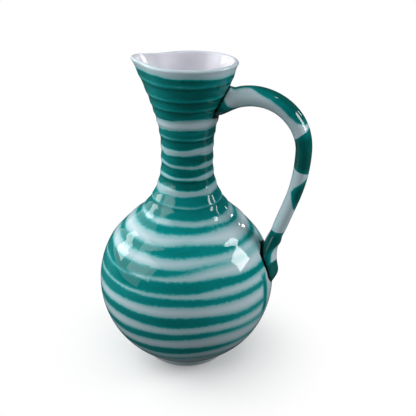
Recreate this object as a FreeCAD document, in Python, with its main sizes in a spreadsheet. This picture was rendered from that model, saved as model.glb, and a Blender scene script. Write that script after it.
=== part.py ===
"""Hand-thrown ceramic pouring jug: foot ring, belly, neck, pinched mouth, pulled handle and its two luted joints.

Millimetres. The origin is the centre of the foot on the table, +Z is up, the handle is at +X and the spout at -X.
"""
import FreeCAD, Part
import itertools
import math
import os
from Sketcher import Constraint

V = FreeCAD.Vector
FULL_TURN = 360.0
HALF_TURN = 180.0
QUARTER_TURN = 90.0
SAME = 1e-6

# Numbers that a sketch uses for its own points and axes
ORIGIN_INDEX, UPRIGHT_AXIS_INDEX = -1, -2
START_INDEX, END_INDEX, CENTRE_INDEX = 1, 2, 3

# Where the neck ends and the mouth begins, as a share of the height of the neck's upper curve
MOUTH_FOOT_SHARE = 0.7524

# Driving dimensions: alias, value in millimetres or degrees, meaning
SIZES = [
    ("belly_radius", 68.0, "outside radius of the round belly"),
    ("wall", 4.5, "thrown wall of belly and neck"),
    ("floor_thickness", 6.0, "clay under the inside of the belly"),
    ("floor_round", 16.0, "finger-rounded corner between floor and wall"),
    ("foot_height", 4.5, "turned foot ring, table to underside"),
    ("foot_radius", 33.8, "outside radius of the foot ring, where the belly meets it"),
    ("foot_width", 6.5, "breadth of the foot ring"),
    ("foot_edge", 1.2, "softened edges that stand on the table"),
    ("root_bend", 56.0, "outside curve that carries the shoulder into the neck"),
    ("waist_radius", 19.7, "outside radius of the neck at its narrowest"),
    ("waist_length", 8.4, "upright stretch at the narrowest"),
    ("flare_bend", 95.0, "outside curve that opens the neck again"),
    ("flare_angle", 18.5, "slope of the funnel from upright, degrees"),
    ("ring_bend", 22.0, "radius of the hollow between two throwing rings on the neck"),
    ("ring_depth", 0.35, "depth of the hollow between two throwing rings on the funnel"),
    ("funnel_height", 35.8, "straight funnel, from the end of the curve to the lip"),
    ("lip_thickness", 3.4, "rounded lip"),
    ("spout_reach", 10.2, "how far the spout is drawn out of the lip"),
    ("spout_rise", 1.6, "how far the tip of the spout stands above the lip"),
    ("spout_spread", 22.0, "half width of the spout seen from above, degrees"),
    ("side_draw", 5.5, "how far the lip beside the spout is drawn in"),
    ("crown_drop", 23.1, "highest point of the handle's centreline, below the lip"),
    ("grip_bend", 38.0, "centreline radius over the top of the handle"),
    ("back_bend", 120.0, "centreline radius down the back of the handle"),
    ("back_angle", 19.0, "lean of the lower handle from upright, degrees"),
    ("start_stand", 8.85, "the handle's upper end, off the wall"),
    ("start_width", 20.0, "handle across, at the upper joint"),
    ("start_thickness", 14.2, "handle through, at the upper joint"),
    ("grip_width", 19.0, "handle across, at its outermost point"),
    ("grip_thickness", 12.2, "handle through, at its outermost point"),
    ("shank_width", 16.0, "handle across, above the straight stretch"),
    ("shank_thickness", 10.8, "handle through, above the straight stretch"),
    ("end_width", 14.5, "handle across, at the lower joint"),
    ("end_thickness", 10.0, "handle through, at the lower joint"),
    ("collar_stand", 3.85, "upper joint halfway out: off the wall"),
    ("collar_drop", 1.4, "upper joint halfway out: below the handle's end"),
    ("collar_width", 23.0, "upper joint halfway out: across"),
    ("collar_depth", 19.5, "upper joint halfway out: up and down"),
    ("seat_rise", 8.8, "upper joint on the wall: above the foot of the straight funnel"),
    ("seat_width", 26.0, "upper joint on the wall: across"),
    ("seat_depth", 27.0, "upper joint on the wall: up and down"),
    ("seat_sink", 2.2, "how deep the joints are pressed before they are trimmed to the wall"),
    ("tip_angle", 2.0, "end of the lower joint's tail: degrees above the belly's middle"),
    ("tip_sink", 0.6, "its depth below the belly's surface"),
    ("tip_width", 5.0, "across"),
    ("tail_step", 3.5, "smeared tail: degrees above the tip"),
    ("tail_stand", 2.4, "its height off the belly"),
    ("tail_width", 10.0, "across"),
    ("knob_step", 5.0, "thumbed knob: degrees above the tail"),
    ("knob_stand", 5.7, "its height off the belly"),
    ("knob_width", 19.0, "across"),
    ("palm_step", 6.5, "broad pressed part: degrees above the knob"),
    ("palm_stand", 6.1, "its height off the belly"),
    ("palm_width", 20.5, "across"),
    ("heel_step", 5.5, "where the handle touches down: degrees above the palm"),
    ("heel_stand", 8.4, "its height off the belly"),
    ("heel_width", 20.0, "across"),
    ("wrist_step", 3.5, "where the handle comes in: degrees above the heel"),
    ("wrist_stand", 12.1, "its height off the belly"),
    ("wrist_width", 18.5, "across"),
    ("end_step", 6.5, "lower end of the handle: degrees above the wrist"),
    ("end_stand", 13.9, "its middle off the belly"),
]

# Places that follow from the driving dimensions, as formulas over them
PLACES = [
    # The belly's circle passes through the outer edge of the foot ring.
    ("belly_centre", "Jug.foot_height + sqrt(Jug.belly_radius^2 - Jug.foot_radius^2)"),
    # The circle of the neck's root touches the belly's circle, so the shoulder runs on smoothly.
    ("centres_apart", "Jug.belly_radius + Jug.root_bend"),
    ("root_centre", "Jug.waist_radius + Jug.root_bend"),
    ("waist_foot", "belly_centre + sqrt(centres_apart^2 - root_centre^2)"),
    ("waist_top", "waist_foot + Jug.waist_length"),
    ("flare_centre", "Jug.waist_radius + Jug.flare_bend"),
    ("funnel_foot", "waist_top + Jug.flare_bend * sin(Jug.flare_angle)"),
    ("funnel_radius", "flare_centre - Jug.flare_bend * cos(Jug.flare_angle)"),
    ("mouth_foot", f"waist_top + {MOUTH_FOOT_SHARE} * (funnel_foot - waist_top)"),
    ("rim_height", "funnel_foot + Jug.funnel_height"),
    ("bore_radius", "Jug.waist_radius - Jug.wall"),
    ("bore_root_bend", "Jug.root_bend + Jug.wall"),
    ("bore_flare_bend", "Jug.flare_bend + Jug.wall"),
    ("bore_top_radius", "flare_centre - sqrt(bore_flare_bend^2 - (mouth_foot - waist_top)^2)"),
    ("inner_radius", "Jug.belly_radius - Jug.wall"),
    ("floor_height", "Jug.foot_height + Jug.floor_thickness"),
    ("floor_radius", "sqrt(inner_radius^2 - (belly_centre - floor_height)^2)"),
    ("foot_inner", "Jug.foot_radius - Jug.foot_width"),
    ("seam_radius", "Jug.belly_radius * root_centre / centres_apart"),
    ("seam_height", "belly_centre + Jug.belly_radius * (waist_foot - belly_centre) / centres_apart"),
    ("seam_inner_radius", "inner_radius * root_centre / centres_apart"),
    ("seam_inner_height", "belly_centre + inner_radius * (waist_foot - belly_centre) / centres_apart"),
    # The handle is worked out from its lower joint on the belly up to its crown below the lip.
    ("tail_angle", "Jug.tip_angle + Jug.tail_step"),
    ("knob_angle", "tail_angle + Jug.knob_step"),
    ("palm_angle", "knob_angle + Jug.palm_step"),
    ("heel_angle", "palm_angle + Jug.heel_step"),
    ("wrist_angle", "heel_angle + Jug.wrist_step"),
    ("end_angle", "wrist_angle + Jug.end_step"),
    ("end_reach", "(Jug.belly_radius + Jug.end_stand) * cos(end_angle)"),
    ("end_height", "belly_centre + (Jug.belly_radius + Jug.end_stand) * sin(end_angle)"),
    ("crown_height", "rim_height - Jug.crown_drop"),
    ("grip_centre", "crown_height - Jug.grip_bend"),
    ("shank_height", "grip_centre - Jug.back_bend * sin(Jug.back_angle)"),
    ("shank_reach", "end_reach + (shank_height - end_height) * tan(Jug.back_angle)"),
    ("back_centre", "shank_reach - Jug.back_bend * cos(Jug.back_angle)"),
    ("grip_reach", "back_centre + Jug.back_bend"),
    ("crown_reach", "grip_reach - Jug.grip_bend"),
    ("seat_height", "funnel_foot + Jug.seat_rise"),
    ("seat_reach", "funnel_radius + Jug.seat_rise * tan(Jug.flare_angle)"),
    ("collar_reach", "seat_reach + Jug.collar_stand"),
    ("start_reach", "seat_reach + Jug.start_stand"),
    ("start_height", "grip_centre + sqrt(Jug.grip_bend^2 - (crown_reach - start_reach)^2)"),
]

# Throwing rings: each crest as a share of the neck's or the mouth's height
NECK_CREST_SHARES = (0.0, 0.121, 0.231, 0.363, 0.484, 0.621, 0.753, 0.886, 1.0)
MOUTH_CREST_SHARES = (0.0, 0.178, 0.334, 0.507, 0.762, 1.0)

# The mouth is drawn out more and more towards the lip
PINCH_POWER_SHARE = 1.5
DRAW_ROUNDING_SHARE = 1.3
RISE_POWER_SHARE = 4.0
LIP_TURN_SHARES = (0.25, 0.5, 0.75, 1.0)
INSIDE_SHARES = (0.6, 0.18, 0.09, 0.0)
CROWDING_SHARE = 0.4
PRESSED_SHARE = 0.35
MOUTH_POINTS = 24
OVAL_POINTS = 12

doc = FreeCAD.newDocument("PouringJug")


def make_sheet(name, rows):
    """A sheet with one named cell per row."""
    sheet = doc.addObject("Spreadsheet::Sheet", name)
    for number, (alias, content, meaning) in enumerate(rows, start=1):
        sheet.set(f"A{number}", meaning)
        sheet.set(f"B{number}", content)
        sheet.setAlias(f"B{number}", alias)
    return sheet


def crest_places():
    """Formulas for the crests of the neck's throwing rings, which lie on its outline."""
    rows = []
    for number, share in enumerate(NECK_CREST_SHARES):
        height = f"seam_height + {share} * (mouth_foot - seam_height)"
        below = f"root_centre - sqrt(Jug.root_bend^2 - (waist_foot - crest{number}_height)^2)"
        above = f"flare_centre - sqrt(Jug.flare_bend^2 - (crest{number}_height - waist_top)^2)"
        upper = f"crest{number}_height > waist_top ? {above} : Jug.waist_radius"
        rows.append((f"crest{number}_height", height))
        rows.append((f"crest{number}_radius", f"crest{number}_height < waist_foot ? {below} : ({upper})"))
    return rows


sizes_sheet = make_sheet("Jug", [(alias, str(value), meaning) for alias, value, meaning in SIZES])
place_rows = [(alias, "=" + formula, alias.replace("_", " ")) for alias, formula in PLACES + crest_places()]
places_sheet = make_sheet("Places", place_rows)
doc.recompute()
SHEET_OF = {alias: sizes_sheet for alias, _, _ in SIZES}
SHEET_OF.update({alias: places_sheet for alias, _, _ in place_rows})


def size(alias):
    """Value of one named cell."""
    return float(SHEET_OF[alias].get(alias))


def cell(alias):
    """One named cell as it is written in an expression."""
    return f"{SHEET_OF[alias].Name}.{alias}"


def new_body(name):
    """An empty body whose label names its file."""
    body = doc.addObject("PartDesign::Body", name)
    body.Label = name
    return body


def upright_sketch(body, name):
    """A sketch on the body's own XZ plane: sketch x is the distance from the axis and sketch y the height."""
    plane = next(feature for feature in body.Origin.OriginFeatures if feature.Role == "XZ_Plane")
    sketch = body.newObject("Sketcher::SketchObject", name)
    sketch.AttachmentSupport = [(plane, "")]
    sketch.MapMode = "FlatFace"
    return sketch


def bind(sketch, kind, arguments, alias):
    """A dimension that follows a named cell."""
    index = sketch.addConstraint(Constraint(kind, *arguments, size(alias)))
    sketch.setExpression(f"Constraints[{index}]", cell(alias))


def hold(sketch, geometry, point, corner):
    """Hold a point at the corner's named reach and height; a reach of None is the axis, a height of None the table."""
    reach, height = corner
    if reach:
        bind(sketch, "DistanceX", (ORIGIN_INDEX, START_INDEX, geometry, point), reach)
    else:
        sketch.addConstraint(Constraint("PointOnObject", geometry, point, UPRIGHT_AXIS_INDEX))
    if height:
        bind(sketch, "DistanceY", (ORIGIN_INDEX, START_INDEX, geometry, point), height)
    else:
        sketch.addConstraint(Constraint("PointOnObject", geometry, point, ORIGIN_INDEX))


def corner_point(corner):
    """Sketch position of a corner."""
    reach, height = corner
    return V(size(reach) if reach else 0, size(height) if height else 0, 0)


def hollow_centre(a, b, radius):
    """Centre of the arc from a up to b that is hollow towards the outside of the jug."""
    chord = b - a
    outward = V(chord.y, -chord.x, 0).normalize()
    return (a + b) * 0.5 + outward * math.sqrt(radius ** 2 - (chord.Length / 2) ** 2)


def arc_round(a, b, centre):
    """The shorter arc from a to b round the centre."""
    lean = (a + b) * 0.5 - centre
    return Part.Arc(a, centre + lean.normalize() * a.distanceToPoint(centre), b)


def draw_outline(sketch, corners, bends, closed=True):
    """Lines and arcs from corner to corner, held at their named places.

    A bend has the number of its first corner, the alias of its radius, and its centre as a corner or None for a
    throwing ring's hollow.
    """
    points = [corner_point(corner) for corner in corners]
    pieces = len(corners) if closed else len(corners) - 1
    firsts, lasts = [], []
    for number in range(pieces):
        a, b = points[number], points[(number + 1) % len(points)]
        if number in bends:
            alias, centre = bends[number]
            middle = corner_point(centre) if centre else hollow_centre(a, b, size(alias))
            sketch.addGeometry(arc_round(a, b, middle), False)
            bind(sketch, "Radius", (number,), alias)
        else:
            sketch.addGeometry(Part.LineSegment(a, b), False)
        # A sketch keeps its arcs counter-clockwise, so an arc may run from its last corner to its first.
        first, last = sketch.getPoint(number, START_INDEX), sketch.getPoint(number, END_INDEX)
        forwards = first.distanceToPoint(a) < last.distanceToPoint(a)
        firsts.append(START_INDEX if forwards else END_INDEX)
        lasts.append(END_INDEX if forwards else START_INDEX)
        if number:
            sketch.addConstraint(Constraint("Coincident", number - 1, lasts[number - 1], number, firsts[number]))
    if closed:
        sketch.addConstraint(Constraint("Coincident", pieces - 1, lasts[-1], 0, firsts[0]))
    for number in range(pieces):
        hold(sketch, number, firsts[number], corners[number])
    if not closed:
        hold(sketch, pieces - 1, lasts[-1], corners[-1])


def revolve(body, sketch, name):
    """The sketch turned once round the jug's axis."""
    turned = body.newObject("PartDesign::Revolution", name)
    turned.Profile = sketch
    turned.ReferenceAxis = (sketch, ["V_Axis"])
    turned.Angle = FULL_TURN
    return turned


def circle_edges(shape, radius, height):
    """Names of the circular edges of one radius at one height."""
    return [
        f"Edge{number}"
        for number, edge in enumerate(shape.Edges, start=1)
        if isinstance(edge.Curve, Part.Circle)
        and math.isclose(edge.Curve.Radius, radius, rel_tol=SAME)
        and abs(edge.Curve.Center.z - height) < SAME * radius
    ]


def round_edges(body, base, circles, alias, name):
    """Fillet the named circles of the body's last feature."""
    doc.recompute()
    fillet = body.newObject("PartDesign::Fillet", name)
    fillet.Base = (base, [edge for radius, height in circles for edge in circle_edges(base.Shape, radius, height)])
    fillet.Radius = size(alias)
    fillet.setExpression("Radius", cell(alias))
    body.Tip = fillet


def make_foot_ring():
    """Turned ring that stands on the table and carries the belly's underside."""
    body = new_body("foot_ring")
    sketch = upright_sketch(body, "foot_section")
    corners = [
        ("foot_inner", None),
        ("foot_radius", None),
        ("foot_radius", "foot_height"),
        ("foot_inner", "foot_height"),
    ]
    draw_outline(sketch, corners, {})
    ring = revolve(body, sketch, "turned_foot")
    round_edges(body, ring, [(size("foot_inner"), 0), (size("foot_radius"), 0)], "foot_edge", "soft_foot_edges")
    return body


def make_belly():
    """Round thrown belly: open at the shoulder, flat under the foot ring, rounded inside where the floor begins."""
    body = new_body("belly")
    sketch = upright_sketch(body, "belly_section")
    corners = [
        (None, "foot_height"),
        ("foot_radius", "foot_height"),
        ("seam_radius", "seam_height"),
        ("seam_inner_radius", "seam_inner_height"),
        ("floor_radius", "floor_height"),
        (None, "floor_height"),
    ]
    centre = (None, "belly_centre")
    draw_outline(sketch, corners, {1: ("belly_radius", centre), 3: ("inner_radius", centre)})
    thrown = revolve(body, sketch, "thrown_belly")
    round_edges(body, thrown, [(size("floor_radius"), size("floor_height"))], "floor_round", "inside_floor_corner")
    return body


def make_neck():
    """Narrow neck with throwing rings outside and a smooth bore, luted on the belly's shoulder."""
    body = new_body("neck")
    sketch = upright_sketch(body, "neck_section")
    crests = [(f"crest{number}_radius", f"crest{number}_height") for number in range(len(NECK_CREST_SHARES))]
    top = len(crests) - 1
    bore = [
        ("bore_top_radius", "mouth_foot"),
        ("bore_radius", "waist_top"),
        ("bore_radius", "waist_foot"),
        ("seam_inner_radius", "seam_inner_height"),
    ]
    bends = {number: ("ring_bend", None) for number in range(top)}
    bends[top + 1] = ("bore_flare_bend", ("flare_centre", "waist_top"))
    bends[top + 3] = ("bore_root_bend", ("root_centre", "waist_foot"))
    draw_outline(sketch, crests + bore, bends)
    revolve(body, sketch, "thrown_neck")
    return body


def smooth_ring(points):
    """A closed smooth curve through the points."""
    curve = Part.BSplineCurve()
    curve.interpolate(Points=points, PeriodicFlag=True)
    return Part.Wire([curve.toShape()])


class Mouth:
    """Measures of the mouth and its pinched lip. Angles are taken from the spout's direction, -X."""

    def __init__(self):
        self.foot = size("mouth_foot")
        self.slope = math.tan(math.radians(size("flare_angle")))
        self.lip_radius = size("lip_thickness") / 2
        self.height = size("rim_height") - self.lip_radius - self.foot
        self.spread = math.radians(size("spout_spread"))
        self.foot_wall = self.thrown_reach(0) - size("bore_top_radius")

    def spout(self, angle):
        """Bell curve over the angle: one at the spout, nothing at the handle."""
        return math.exp(-((angle / self.spread) ** 2))

    def above_funnel_foot(self, share):
        """Height above the place where the neck's flare runs on into the straight funnel."""
        return self.foot + self.height * share - size("funnel_foot")

    def thrown_reach(self, share):
        """Outside of the mouth as thrown, before it is pinched: the end of the neck's flare, then a cone."""
        above = self.above_funnel_foot(share)
        if above > 0:
            return size("funnel_radius") + self.slope * above
        up = size("funnel_foot") + above - size("waist_top")
        return size("flare_centre") - math.sqrt(size("flare_bend") ** 2 - up ** 2)

    def reach(self, angle, share):
        """Distance of the outside from the axis, at a share of the mouth's height.

        Towards the lip the sides of the thrown funnel are drawn in and its front is pulled out to the spout.
        """
        pinch = max(0, self.above_funnel_foot(share) / self.above_funnel_foot(1)) ** PINCH_POWER_SHARE
        drawn = size("side_draw") * abs(math.cos(angle / 2)) ** DRAW_ROUNDING_SHARE
        return self.thrown_reach(share) + pinch * (size("spout_reach") * self.spout(angle) - drawn)

    def point(self, angle, share, inset, lift):
        """A point below the outside by the inset, measured square to the outline seen from above."""
        reach = self.reach(angle, share)
        turn = (self.reach(angle + SAME, share) - self.reach(angle - SAME, share)) / (2 * SAME)
        length = math.hypot(reach, turn)
        along, across = reach - inset * reach / length, inset * turn / length
        x = -along * math.cos(angle) - across * math.sin(angle)
        y = -along * math.sin(angle) + across * math.cos(angle)
        rise = size("spout_rise") * self.spout(angle) * share ** RISE_POWER_SHARE
        return V(x, y, self.foot + self.height * share + lift + rise)

    def ring(self, share, inset, lift=0):
        """A closed smooth curve round the mouth, its start at the side and its points crowded towards the spout."""
        points = []
        for number in range(MOUTH_POINTS):
            turn = math.radians(QUARTER_TURN + FULL_TURN * number / MOUTH_POINTS)
            angle = math.remainder(turn - CROWDING_SHARE * math.sin(turn), 2 * math.pi)
            points.append(self.point(angle, share, inset, lift))
        return smooth_ring(points)


def skin(stretches):
    """Smooth faces, each over the three rings of one stretch."""
    return [face for rings in stretches for face in Part.makeLoft(rings, False, False, False).Faces]


def make_mouth():
    """Flared mouth with throwing rings, a rounded lip and one pinched spout, skinned over rings of clay."""
    mouth = Mouth()
    crests = [mouth.ring(share, 0) for share in MOUTH_CREST_SHARES]
    outside = []
    for number, (low, high) in enumerate(itertools.pairwise(MOUTH_CREST_SHARES)):
        bare = high == MOUTH_CREST_SHARES[-1]
        middle = mouth.ring((low + high) / 2, 0 if bare else size("ring_depth"))
        outside.append([crests[number], middle, crests[number + 1]])
    turned = [crests[-1]]
    for share in LIP_TURN_SHARES:
        turn = math.pi * share
        turned.append(mouth.ring(1, mouth.lip_radius * (1 - math.cos(turn)), mouth.lip_radius * math.sin(turn)))
    lip = [turned[:3], turned[2:]]
    pulled = [turned[-1]]
    for share in INSIDE_SHARES:
        pulled.append(mouth.ring(share, mouth.foot_wall + (size("lip_thickness") - mouth.foot_wall) * share))
    inside = [pulled[:3], pulled[2:]]
    faces = skin(outside + lip + inside)
    faces.append(Part.makeFace([crests[0], pulled[-1]], "Part::FaceMakerBullseye"))
    solid = Part.makeSolid(Part.makeShell(faces))
    if solid.Volume < 0:
        solid.reverse()
    return shaped_piece("mouth", solid)


def shaped_piece(name, shape):
    """A freely shaped piece."""
    piece = doc.addObject("Part::Feature", name)
    piece.Label = name
    piece.Shape = shape
    piece.Placement = FreeCAD.Placement()
    return piece


def section_sketch(body, name, spine, edge, along, width, thickness):
    """An oval across the handle: wide across the jug, thin in the handle's plane."""
    sketch = body.newObject("Sketcher::SketchObject", name)
    sketch.AttachmentSupport = [(spine, edge)]
    sketch.MapMode = "NormalToEdge"
    sketch.MapPathParameter = along
    doc.recompute()
    across = sketch.Placement.Rotation.inverted().multVec(V(0, 1, 0))
    through = V(-across.y, across.x, 0)
    half_width, half_thickness = across * (size(width) / 2), through * (size(thickness) / 2)
    oval = sketch.addGeometry(Part.Ellipse(half_width, half_thickness, V(0, 0, 0)), False)
    sketch.exposeInternalGeometry(oval)
    long_axis, short_axis = oval + 1, oval + 2
    sketch.addConstraint(Constraint("Coincident", oval, CENTRE_INDEX, ORIGIN_INDEX, START_INDEX))
    upright = abs(across.y) > abs(across.x)
    sketch.addConstraint(Constraint("Vertical" if upright else "Horizontal", long_axis))
    bind(sketch, "Distance", (long_axis,), width)
    bind(sketch, "Distance", (short_axis,), thickness)
    return sketch


def make_handle():
    """Pulled handle: oval clay swept over the top and down to the belly, thinner and narrower all the way."""
    body = new_body("handle")
    spine = upright_sketch(body, "handle_line")
    corners = [
        ("start_reach", "start_height"),
        ("grip_reach", "grip_centre"),
        ("shank_reach", "shank_height"),
        ("end_reach", "end_height"),
    ]
    bends = {0: ("grip_bend", ("crown_reach", "grip_centre")), 1: ("back_bend", ("back_centre", "grip_centre"))}
    draw_outline(spine, corners, bends, closed=False)
    doc.recompute()
    stations = [("start", "Edge1", 0), ("grip", "Edge2", 0), ("shank", "Edge3", 0), ("end", "Edge3", 1)]
    ovals = [
        section_sketch(body, f"{name}_oval", spine, edge, along, f"{name}_width", f"{name}_thickness")
        for name, edge, along in stations
    ]
    pulled = body.newObject("PartDesign::AdditivePipe", "pulled_clay")
    pulled.Profile = ovals[0]
    pulled.Spine = (spine, ["Edge1", "Edge2", "Edge3"])
    pulled.Transformation = "Multisection"
    pulled.Sections = [(oval, [""]) for oval in ovals[1:]]
    return body


def oval_ring(centre, heading, width, thickness, pressed=0.0):
    """An oval round a point of the handle's plane, square to the heading: its width lies across the jug.

    Pressed clay spreads towards its foot, which is the given share wider.
    """
    across, through = V(0, width / 2, 0), V(-heading.z, 0, heading.x) * (thickness / 2)
    points = []
    for number in range(OVAL_POINTS):
        turn = 2 * math.pi * number / OVAL_POINTS
        spread = 1 + pressed * (1 - math.sin(turn)) / 2
        points.append(centre + across * math.cos(turn) * spread + through * math.sin(turn))
    return smooth_ring(points)


def lean(degrees):
    """Unit direction in the handle's plane, by its angle above +X."""
    return V(math.cos(math.radians(degrees)), 0, math.sin(math.radians(degrees)))


def make_upper_joint(mouth):
    """Luting clay that spreads the handle's upper end over the mouth."""
    start = V(size("start_reach"), 0, size("start_height"))
    start_lean = math.degrees(math.asin((size("crown_reach") - size("start_reach")) / size("grip_bend")))
    collar = V(size("collar_reach"), 0, start.z - size("collar_drop"))
    seat = V(size("seat_reach") - size("seat_sink"), 0, size("seat_height"))
    rings = [
        oval_ring(seat, lean(-size("flare_angle")), size("seat_width"), size("seat_depth")),
        oval_ring(collar, lean(0), size("collar_width"), size("collar_depth")),
        oval_ring(start, lean(start_lean), size("start_width"), size("start_thickness")),
    ]
    clay = Part.makeLoft(rings, True, False, False)
    return shaped_piece("upper_handle_joint", clay.cut(mouth.Shape))


def make_lower_joint():
    """The handle's lower end pressed on the belly: broad palm, thumbed knob and smeared tail."""
    middle = V(0, 0, size("belly_centre"))
    end = V(size("end_reach"), 0, size("end_height"))
    rings = [oval_ring(end, lean(-QUARTER_TURN - size("back_angle")), size("end_width"), size("end_thickness"))]
    for name in ("wrist", "heel", "palm", "knob", "tail", "tip"):
        up = size(f"{name}_angle")
        stand = -size("tip_sink") if name == "tip" else size(f"{name}_stand")
        thickness = stand + size("seat_sink")
        centre = middle + lean(up) * (size("belly_radius") + stand - thickness / 2)
        rings.append(oval_ring(centre, lean(up - QUARTER_TURN), size(f"{name}_width"), thickness, PRESSED_SHARE))
    clay = Part.makeLoft(rings, True, False, False)
    belly_round = Part.makeSphere(size("belly_radius"), middle)
    # The sphere's seam is turned away from the clay.
    belly_round.rotate(middle, V(0, 0, 1), HALF_TURN)
    return shaped_piece("lower_handle_joint", clay.cut(belly_round))


def faults(piece):
    """What is wrong with an object of the document, in words."""
    found = [state for state in piece.State if state in ("Invalid", "Error")]
    shape = getattr(piece, "Shape", None)
    if shape is not None and (shape.isNull() or not shape.isValid()):
        found.append("shape")
    return found


foot_ring = make_foot_ring()
belly = make_belly()
neck = make_neck()
mouth = make_mouth()
handle = make_handle()
doc.recompute()
upper_joint = make_upper_joint(mouth)
lower_joint = make_lower_joint()
doc.recompute()
pieces = [foot_ring, belly, neck, mouth, handle, upper_joint, lower_joint]

for thing in doc.Objects:
    wrong = faults(thing) if thing in pieces or thing.State != ["Up-to-date"] else []
    if wrong:
        raise RuntimeError(f"{thing.Name}: {wrong}")

os.makedirs("parts", exist_ok=True)
for piece in pieces:
    if len(piece.Shape.Solids) != 1:
        raise RuntimeError(f"{piece.Label} has {len(piece.Shape.Solids)} solids")
    piece.Shape.exportStep(f"parts/{piece.Label}.step")
    box = piece.Shape.BoundBox
    print(piece.Label, round(piece.Shape.Volume), [round(value, 1) for value in (box.XMin, box.XMax, box.ZMin, box.ZMax)])
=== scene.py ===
import bpy
import numpy as np
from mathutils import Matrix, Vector


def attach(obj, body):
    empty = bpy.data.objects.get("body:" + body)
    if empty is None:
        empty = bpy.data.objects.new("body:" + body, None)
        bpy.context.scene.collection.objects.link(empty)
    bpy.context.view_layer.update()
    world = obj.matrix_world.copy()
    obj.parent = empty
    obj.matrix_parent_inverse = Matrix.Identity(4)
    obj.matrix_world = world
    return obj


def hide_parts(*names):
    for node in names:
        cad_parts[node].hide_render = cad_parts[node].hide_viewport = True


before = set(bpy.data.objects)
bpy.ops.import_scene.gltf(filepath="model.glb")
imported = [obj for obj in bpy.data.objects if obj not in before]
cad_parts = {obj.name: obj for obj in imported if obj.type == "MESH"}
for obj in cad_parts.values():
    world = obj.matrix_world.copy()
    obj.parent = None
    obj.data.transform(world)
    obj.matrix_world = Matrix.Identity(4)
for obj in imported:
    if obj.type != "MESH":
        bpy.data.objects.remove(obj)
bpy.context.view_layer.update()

MM = 0.001
TURN = 2 * np.pi

# Thrown wall
BELLY_RADIUS, BELLY_CENTRE, WALL = 68 * MM, 63.5 * MM, 4.5 * MM
FOOT_HEIGHT, FOOT_WIDTH, FOOT_EDGE = 4.5 * MM, 6.5 * MM, 1.2 * MM
FLOOR_THICKNESS, FLOOR_ROUND = 6 * MM, 16 * MM
ROOT_BEND, WAIST_RADIUS, WAIST_LENGTH = 56 * MM, 19.7 * MM, 8.4 * MM
FLARE_BEND, FLARE_ANGLE = 95 * MM, np.radians(18.5)
MOUTH_FOOT, RIM_HEIGHT, LIP_THICKNESS = 192.8 * MM, 236.06 * MM, 3.4 * MM

# Pinched spout, and how steeply its reach, the draw of the sides and its rise come in
SPOUT_REACH, SPOUT_RISE, SPOUT_SPREAD, SIDE_DRAW = 10.2 * MM, 1.6 * MM, np.radians(22), 5.5 * MM
PINCH_POWER, DRAW_POWER, RISE_POWER = 1.5, 1.3, 4

# Throwing rings: the crests' places up neck and mouth, and the hollow between two of them
NECK_CREST_SHARES = np.array([0, 0.121, 0.231, 0.363, 0.484, 0.621, 0.753, 0.886])
MOUTH_CREST_SHARES = np.array([0, 0.178, 0.334, 0.507, 0.762, 1])
RING_DEPTH, HOLLOW_POWER = 0.5 * MM, 1.5
CREST_SPREAD, GROOVE_PLACE, GROOVE_SPREAD = 0.13, 0.8, 0.09

# Places on the wall that follow
ROOT_CENTRE = WAIST_RADIUS + ROOT_BEND
WAIST_FOOT = BELLY_CENTRE + np.sqrt((BELLY_RADIUS + ROOT_BEND) ** 2 - ROOT_CENTRE ** 2)
WAIST_TOP = WAIST_FOOT + WAIST_LENGTH
FLARE_CENTRE = WAIST_RADIUS + FLARE_BEND
FUNNEL_FOOT = WAIST_TOP + FLARE_BEND * np.sin(FLARE_ANGLE)
FUNNEL_RADIUS = FLARE_CENTRE - FLARE_BEND * np.cos(FLARE_ANGLE)
SEAM_HEIGHT = BELLY_CENTRE + BELLY_RADIUS * (WAIST_FOOT - BELLY_CENTRE) / (BELLY_RADIUS + ROOT_BEND)
LIP_RADIUS = LIP_THICKNESS / 2
LIP_HEIGHT = RIM_HEIGHT - LIP_RADIUS
FOOT_RADIUS = np.sqrt(BELLY_RADIUS ** 2 - (BELLY_CENTRE - FOOT_HEIGHT) ** 2)
CRESTS = np.concatenate([SEAM_HEIGHT + NECK_CREST_SHARES * (MOUTH_FOOT - SEAM_HEIGHT),
                         MOUTH_FOOT + MOUTH_CREST_SHARES * (LIP_HEIGHT - MOUTH_FOOT)])

# Rows of the wall, from under the foot up the outside, over the lip and down the inside to the floor
UNDER_ROWS, EDGE_ROWS, BELLY_ROWS, NECK_ROWS, LIP_ROWS = 6, 5, 104, 176, 14
INSIDE_ROWS, FLOOR_ROWS, TURNS = 84, 12, 228
# Shares of its reach at which the underside starts and the floor ends, and the fillet between foot and belly
UNDER_START, FLOOR_END, FOOT_FILLET = 0.2, 0.1, 1.6 * MM

# The neck leans a little towards the handle, and the shoulder under it is slightly dented all round
NECK_LEAN, LEAN_FOOT, LEAN_TOP = np.array([0.68, 0.15]) * MM, 95 * MM, 125 * MM
SHOULDER_DENT, SHOULDER_HEIGHT, SHOULDER_SPREAD = 1.2 * MM, 109 * MM, 7 * MM
# Fine ripples of the throwing hand on the shoulder, which break up the windows in the glaze
RIPPLE, RIPPLE_PITCH, RIPPLE_HEIGHT, RIPPLE_SPREAD = 0.2 * MM, 7.4 * MM, 115 * MM, 9 * MM
# Waves of the hand, in rows of size, count round the jug, start, and the rise over which one turns by a radian
UPRIGHT = np.inf
RING_WANDER = [(0.35 * MM, 1, 1.1, UPRIGHT), (0.2 * MM, 2, 0, 9 * MM)]
WALL_WOBBLE = [(0.22 * MM, 2, 0.7, 45 * MM), (0.1 * MM, 5, 0, 21 * MM)]
WOBBLE_FOOT, WOBBLE_FULL = FOOT_HEIGHT, 4 * FOOT_HEIGHT
RIPPLE_BENDS = [(1.6, 5, 0, UPRIGHT), (1.1, 11, 1, UPRIGHT)]


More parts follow.
